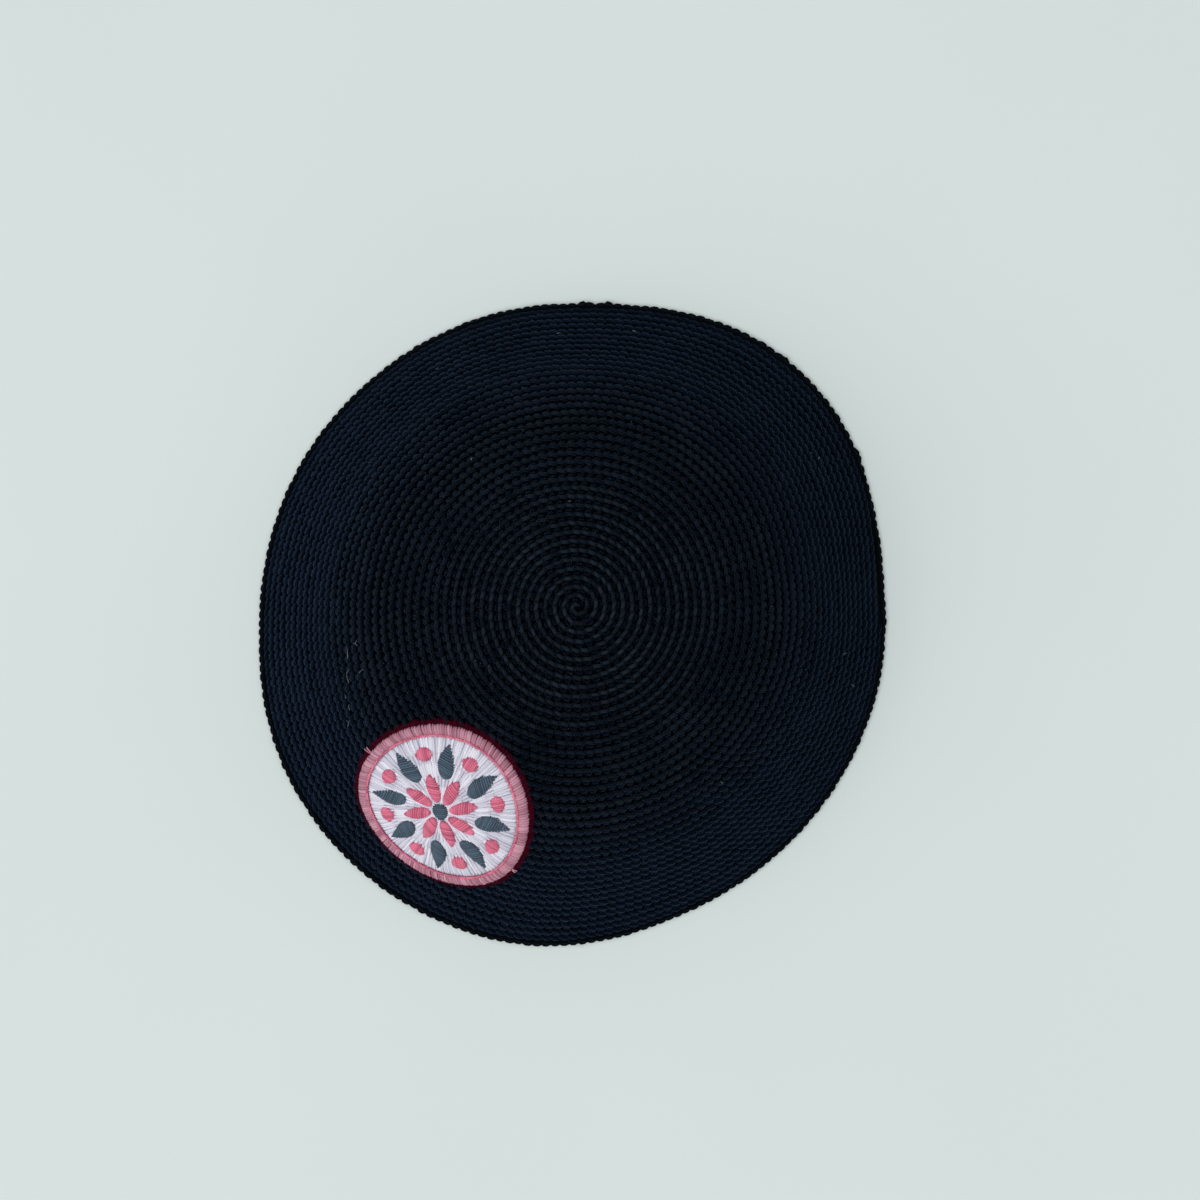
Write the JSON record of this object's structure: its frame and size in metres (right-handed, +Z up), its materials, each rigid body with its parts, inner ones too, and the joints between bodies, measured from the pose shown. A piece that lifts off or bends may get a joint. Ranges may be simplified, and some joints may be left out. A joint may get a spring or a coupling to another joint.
{
  "type": "crocheted kippah",
  "caption": "Round crocheted skullcap with a flattish crown, sloping side and edged rim, lying crown up, with a round embroidered disc of petals and leaves on its side.",
  "frame": {"origin": "on the surface that the cap lies on, under the middle of the cap's bounding box", "axes": "+Z up out of the crown; +X and +Y are the right and the top of the cap seen from above with the disc at the lower left"},
  "size_m": [0.143, 0.1469, 0.0326],
  "materials": {
    "knit": "near-black navy cotton crochet, matt with a faint sheen on its slopes",
    "edging": "black cotton, one dense round of crochet",
    "white_thread": "off-white satin stitch, slightly glossy",
    "rose_thread": "rose-red satin stitch, slightly glossy",
    "navy_thread": "navy satin stitch, slightly glossy"
  },
  "bodies": {
    "root": {"crown": "knit", "edging": "edging", "patch_ground": "white_thread", "patch_border": "rose_thread", "heart": "navy_thread", "petal_1": "rose_thread", "petal_2": "rose_thread", "petal_3": "rose_thread", "petal_4": "rose_thread", "petal_5": "rose_thread", "petal_6": "rose_thread", "petal_7": "rose_thread", "petal_8": "rose_thread", "leaf_1": "navy_thread", "leaf_2": "navy_thread", "leaf_3": "navy_thread", "leaf_4": "navy_thread", "leaf_5": "navy_thread", "leaf_6": "navy_thread", "leaf_7": "navy_thread", "leaf_8": "navy_thread", "bud_1": "rose_thread", "bud_2": "rose_thread", "bud_3": "rose_thread", "bud_4": "rose_thread", "bud_5": "rose_thread", "bud_6": "rose_thread", "bud_7": "rose_thread", "bud_8": "rose_thread"}
  },
  "joints": []
}
